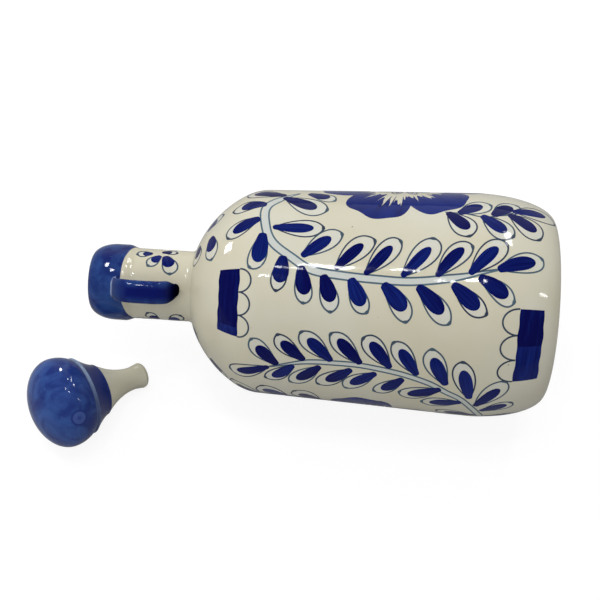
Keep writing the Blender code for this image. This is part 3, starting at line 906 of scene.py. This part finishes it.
# Stopper: drain-cast in the same clay, with a domed knob, a flared collar and a tapered stem for the mouth.
# Knob and collar are brushed with cobalt, and the stem is left cream. It lies on the table beside the neck.
STEM_LENGTH = 24.9 * MM
STEM_WAIST_RADIUS = 5.6 * MM
STEM_WAIST_RISE = 6.6 * MM
STEM_TIP_RADIUS = 6.3 * MM
STEM_TIP_ROUND = 2.2 * MM
STEM_TOP_RADIUS = 12.4 * MM
COLLAR_LENGTH = 10.0 * MM
COLLAR_STEP = 0.4 * MM
COLLAR_HOLLOW = 1.4  # 1 would be a straight cone
STEM_HOLLOW = 2
COLLAR_FADE = 3 * MM  # how far the collar's darker blue fades past the groove
GROOVE_RADIUS = 18.3 * MM
GROOVE_WIDTH = 1.4 * MM
KNOB_RADIUS = 21.8 * MM
KNOB_EDGE_RADIUS = 19.0 * MM
KNOB_SKIRT = 9.1 * MM
DOME_HEIGHT = 14.4 * MM
STOPPER_WALL = 4.2 * MM
DRAIN_RADIUS = 2.6 * MM
STOPPER_HEADING = radians(35.5)
STOPPER_TILT = radians(20.93)  # it rests on its knob and on the bead of its stem
STOPPER_SEGMENTS = 160
STOPPER_STEPS = {
    "bead": 12, "stem": 20, "collar": 14, "groove": 8, "skirt": 16, "dome": 32, "hollow": 10}
RIM_LINE = 1.3 * MM  # glaze runs off an edge and leaves it pale
RIM_CORE = 0.4  # share of the line's half width that is fully pale
RIM_PALE = "#93A6C2"
RIM_LIGHT_LEAST = 0.3  # how pale the edge stays on the side away from the light; the paler lit side is painted light
KNOB_DEEP = "#22357B"
KNOB_MID = "#3A5A9E"
COLLAR_NAVY = "#1B2B70"
BLISTER_PLACE = (13.7 * MM, -16.7 * MM, 47.0 * MM)  # a glaze bubble burst here and healed as a pale ring
# The darker outer ring round the pale one is painted shade of the bubble's rim.
BLISTER_AND_SHADE_RINGS = ((4.4 * MM, "#22347A"), (3.6 * MM, "#445A9E"), (1.6 * MM, "#35498E"))
BLISTER_EDGE = 1.0 * MM

groove_foot = STEM_LENGTH + COLLAR_LENGTH
knob_edge = groove_foot + GROOVE_WIDTH
equator = knob_edge + KNOB_SKIRT
collar_foot = (STEM_TOP_RADIUS + COLLAR_STEP, STEM_LENGTH + COLLAR_STEP)


def flared(start, end, power, steps):
    """Points from one (radius, height) to another, whose radius grows as a power of the way gone."""
    parts = [step / steps for step in range(steps + 1)]
    wide, high = end[0] - start[0], end[1] - start[1]
    return [(start[0] + wide * part ** power, start[1] + high * part) for part in parts]


bead = (STEM_TIP_RADIUS - STEM_TIP_ROUND, STEM_TIP_ROUND)
outside = arc(bead, (STEM_TIP_ROUND, STEM_TIP_ROUND), -90, 20, STOPPER_STEPS["bead"])
stem_waist = (STEM_WAIST_RADIUS, STEM_WAIST_RISE)
stem_top = (STEM_TOP_RADIUS, STEM_LENGTH)
outside += flared(stem_waist, stem_top, STEM_HOLLOW, STOPPER_STEPS["stem"])
outside += flared(
    collar_foot, (KNOB_EDGE_RADIUS, groove_foot), COLLAR_HOLLOW, STOPPER_STEPS["collar"])
groove_side = KNOB_EDGE_RADIUS - GROOVE_RADIUS
for step in range(1, STOPPER_STEPS["groove"]):
    part = step / STOPPER_STEPS["groove"]
    dip = groove_side * half_wave(2 * part)
    outside.append((KNOB_EDGE_RADIUS - dip, groove_foot + GROOVE_WIDTH * part))
reach = degrees(acos(KNOB_EDGE_RADIUS / KNOB_RADIUS))
skirt = KNOB_SKIRT / sin(radians(reach))
outside += arc((0, equator), (KNOB_RADIUS, skirt), -reach, 0, STOPPER_STEPS["skirt"])
outside += arc((0, equator), (KNOB_RADIUS, DOME_HEIGHT), 0, 90, STOPPER_STEPS["dome"])[1:-1]
outside += [(0, equator + DOME_HEIGHT)]
hollow = (KNOB_RADIUS - STOPPER_WALL, DOME_HEIGHT - STOPPER_WALL)
inside = [(DRAIN_RADIUS, 0), (DRAIN_RADIUS, STEM_LENGTH / 2)]
inside += [(STEM_TOP_RADIUS - STOPPER_WALL, STEM_LENGTH), (GROOVE_RADIUS - STOPPER_WALL, groove_foot)]
inside += arc((0, equator), hollow, 0, 90, STOPPER_STEPS["hollow"])[:-1]
inside += [(0, equator + hollow[1])]

stopper_mesh = turned(inside[::-1] + outside, STOPPER_SEGMENTS)
stopper_turn = Matrix.Rotation(STOPPER_HEADING, 4, "Z") @ Matrix.Rotation(STOPPER_TILT - pi / 2, 4, "Y")
stopper_low, stopper_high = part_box("stopper")
turned_points = np.array([stopper_turn @ vert.co for vert in stopper_mesh.verts])
turned_middle = Vector((turned_points.min(axis=0) + turned_points.max(axis=0)) / 2)
lay_stopper = Matrix.Translation((stopper_low + stopper_high) / 2 - turned_middle) @ stopper_turn


def stopper_colours(add, upright):
    """Cobalt knob and collar, pale at the groove and the collar's foot and paler on the lit side as painted
    light; cream stem.
    """
    height = add("SeparateXYZ", {"Vector": upright}).outputs["Z"]
    span = {"From Min": knob_edge + COLLAR_FADE, "From Max": groove_foot - COLLAR_FADE}
    collar = add("MapRange", {"Value": height, **span}, **SMOOTH)
    knob = brushed_cobalt(add, upright, KNOB_DEEP, KNOB_MID)
    blue = add("Mix", {"Factor": collar, "A": knob, "B": colour(COLLAR_NAVY)}, **RGBA)
    above = add("VectorMath", {0: upright, 1: back_lit_side}, operation="DOT_PRODUCT").outputs["Value"]
    span = {"From Min": -KNOB_RADIUS / 2, "From Max": KNOB_RADIUS / 2, "To Min": RIM_LIGHT_LEAST}
    rim_light_share = add("MapRange", {"Value": above, **span}, **SMOOTH)
    for edge, line in ((STEM_LENGTH, RIM_LINE / 2), (knob_edge - GROOVE_WIDTH / 2, RIM_LINE)):
        away = add("Math", {0: height, 1: edge}, operation="SUBTRACT")
        away = add("Math", {0: away}, operation="ABSOLUTE")
        pale = add("MapRange", {"Value": away, "From Min": line, "From Max": line * RIM_CORE}, **SMOOTH)
        pale = add("Math", {0: pale, 1: rim_light_share}, operation="MULTIPLY")
        blue = add("Mix", {"Factor": pale, "A": blue, "B": colour(RIM_PALE)}, **RGBA)
    off = add("VectorMath", {0: upright, 1: BLISTER_PLACE}, operation="DISTANCE").outputs["Value"]
    # Rings from the outside in: painted shade of the rim, the pale healed glaze, and its darker middle.
    for reach, code in BLISTER_AND_SHADE_RINGS:
        span = {"From Min": reach, "From Max": reach - BLISTER_EDGE}
        scar = add("MapRange", {"Value": off, **span}, **SMOOTH)
        blue = add("Mix", {"Factor": scar, "A": blue, "B": colour(code)}, **RGBA)
    span = {"From Min": STEM_LENGTH, "From Max": STEM_LENGTH + COLLAR_STEP}
    share = add("MapRange", {"Value": height, **span}, **SMOOTH)
    return add("Mix", {"Factor": share, "A": cream(add, upright), "B": blue}, **RGBA)


back_lit_side = lay_stopper.to_3x3().transposed() @ sideways  # the side turned to the lights behind, where the pale edges are painted brighter as light
back_lit_side.z = 0
stopper_glaze = glazed("cobalt_knob_and_cream_stem_glaze", stopper_colours, LIP_GLOSS, lay_stopper)
stopper = add_piece("glazed_stopper", stopper_mesh, stopper_glaze, "cobalt_glaze", lay_stopper, "stopper")
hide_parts("stopper")


# Floor: a plain white sheet that keeps the soft shadow of the two pieces.
# What the camera sees of it is lifted to white. The glaze sees a little of that lift and most of the
# shadow, and less light comes back up than from a white sheet.
FLOOR_SIZE = 3.0
FLOOR_CELLS = 4
FLOOR_DROP = 0.15 * MM
FLOOR_WHITE = "#A6A6A4"
FLOOR_SEEN = "#7A7A7A"  # where it is lifted, it is duller, so that it comes out just white
FLOOR_LIFT = 0.88
REFLECTED_LIFT = 0.1

floor_mesh = bmesh.new()
bmesh.ops.create_grid(
    floor_mesh, x_segments=FLOOR_CELLS, y_segments=FLOOR_CELLS, size=FLOOR_SIZE,
    matrix=Matrix.Translation((0, 0, -FLOOR_DROP)))
floor_data = bpy.data.meshes.new("floor")
floor_mesh.to_mesh(floor_data)
floor_mesh.free()
floor = bpy.data.objects.new("floor", floor_data)
scene.collection.objects.link(floor)

paper = bpy.data.materials.new("white_paper_floor")
add = empty_tree(paper)
rays = add("LightPath")
mirrored = add(
    "Math", {0: rays.outputs["Is Glossy Ray"], 1: rays.outputs["Is Transmission Ray"]}, operation="MAXIMUM")
seen = add(
    "Math", {0: mirrored, 1: REFLECTED_LIFT, 2: rays.outputs["Is Camera Ray"]}, operation="MULTIPLY_ADD")
dull = add("BsdfDiffuse", {"Color": colour(FLOOR_WHITE)})
glow = add("Emission", {"Strength": FLOOR_LIFT})
shaded = add("BsdfDiffuse", {"Color": colour(FLOOR_SEEN)})
lifted = add("AddShader", {0: shaded, 1: glow})
sheet = add("MixShader", {0: seen, 1: dull, 2: lifted})
add("OutputMaterial", {"Surface": sheet})
floor_data.materials.append(paper)


# Light: a dim room with a pale wall behind the table, a wide sheet overhead and three smaller ones, at the
# front left, weakly at the front right, and behind on the left. They shade the glaze and aren't mirrored.
# Small lamps are mirrored in a broken line along the bottle, far windows as patches, each glint by one piece.
ROOM_LEVEL = 0.20
WALL_LEVEL = 0.85
WALL_SPREAD = 0.65  # cosine of the angle off straight behind at which the wall ends
# Sheets by name, as (place, size in metres, radiance).
SHEETS = {"overhead_sheet": ((-1.3, -0.1, 2.0), (4.0, 4.0), 0.33),
          "soft_sheet": ((-1.1, -1.0, 0.5), (1.2, 1.0), 1.55),
          "fill_sheet": ((1.1, -1.1, 0.4), (0.8, 0.6), 1.2),
          "back_sheet": ((-1.0, 1.0, 1.2), (0.8, 0.8), 3.8)}
LAMP_SIZES = {"dot": (0.014, 0.024), "spot": (0.026, 0.028), "dash": (0.06, 0.038)}
LAMP_RADIANCE = 90.0
LAMPS = [((-0.224, -0.152, 1.0), "spot"), ((-0.195, 0.024, 1.0), "dot"), ((-0.164, 0.007, 1.0), "dot"),
         ((-0.122, 0.073, 1.0), "dash"), ((-0.02, 0.074, 1.0), "spot"), ((0.026, -0.067, 1.0), "spot"),
         ((0.11, -0.035, 1.0), "dash")]
WINDOW_RADIANCE = 22.0
WINDOWS = [((0.433, 1.031, 1.0), (0.09, 0.4)), ((1.164, -0.099, 1.0), (0.3, 0.05))]
GLINT_RADIANCE = 60.0
GLINTS = [(vessel, (-1.35, 0.68, 0.36), (0.2, 0.2)), (neck, (-0.58, 0.48, 1.0), (0.18, 0.24)),
          (neck, (-0.35, 0.141, 1.0), (0.05, 0.12)), (neck, (0.279, 0.459, 1.0), (0.1, 0.14)),
          (handle, (-0.6, 0.29, 1.0), (0.16, 0.16)), (handle, (-0.3, 0.03, 1.0), (0.14, 0.12)),
          (stopper, (-0.62, 2.11, 1.0), (0.3, 0.5)), (stopper, (0.131, 0.803, 1.0), (0.06, 0.08)),
          (stopper, (0.62, 0.665, 1.0), (0.08, 0.08))]

room = bpy.data.worlds.new("pale_room")
add = empty_tree(room)
outlook = add("TexCoord").outputs["Generated"]
behind = add("SeparateXYZ", {"Vector": outlook}).outputs["Y"]
span = {"From Min": WALL_SPREAD, "To Min": ROOM_LEVEL, "To Max": WALL_LEVEL}
wall = add("MapRange", {"Value": behind, **span}, **SMOOTH)
in_view = add("LightPath").outputs["Is Camera Ray"]
brightness = add("Math", {0: wall, 1: in_view}, operation="MAXIMUM")
backdrop = add("Background", {"Color": colour("#FFFFFF"), "Strength": brightness})
add("OutputWorld", {"Surface": backdrop})
scene.world = room


def area_light(name, place, size, radiance, reflected, piece=None):
    """A lamp that faces the middle of the table. With a piece, it is only mirrored, by that piece alone."""
    data = bpy.data.lights.new(name, "AREA")
    data.shape = "RECTANGLE"
    data.size, data.size_y = size
    data.energy = radiance * pi * size[0] * size[1]
    lamp = bpy.data.objects.new(name, data)
    lamp.location = place
    lamp.rotation_euler = Vector((0, 0, -1)).rotation_difference(-Vector(place)).to_euler()
    lamp.visible_glossy = reflected
    if piece:
        lamp.visible_diffuse = False
        lit = bpy.data.collections.new(f"lit_by_{name}")
        lit.objects.link(piece)
        lamp.light_linking.receiver_collection = lit
    scene.collection.objects.link(lamp)


for name, (place, size, radiance) in SHEETS.items():
    area_light(name, place, size, radiance, False)
for place, size in LAMPS:
    area_light("small_lamp", place, LAMP_SIZES[size], LAMP_RADIANCE, True)
for place, size in WINDOWS:
    area_light("far_window", place, size, WINDOW_RADIANCE, True)
for piece, place, size in GLINTS:
    area_light("glint", place, size, GLINT_RADIANCE, True, piece)


# Camera: high in front of the bottle and close to it, with a small roll, as the picture was taken.
CAMERA_PLACE = Vector((0.013504, -0.241497, 0.560259))
CAMERA_TARGET = Vector((0.004615, 0.017583, 0.0288))
CAMERA_ROLL = radians(-3.016)
CAMERA_LENS = 72.0

aim = (CAMERA_TARGET - CAMERA_PLACE).to_track_quat("-Z", "Y").to_matrix().to_4x4()
roll = Matrix.Rotation(-CAMERA_ROLL, 4, "Z")
lens = bpy.data.cameras.new("camera")
lens.lens = CAMERA_LENS
camera = bpy.data.objects.new("camera", lens)
camera.matrix_world = Matrix.Translation(CAMERA_PLACE) @ aim @ roll
scene.collection.objects.link(camera)
scene.camera = camera
scene.view_settings.view_transform = "Standard"
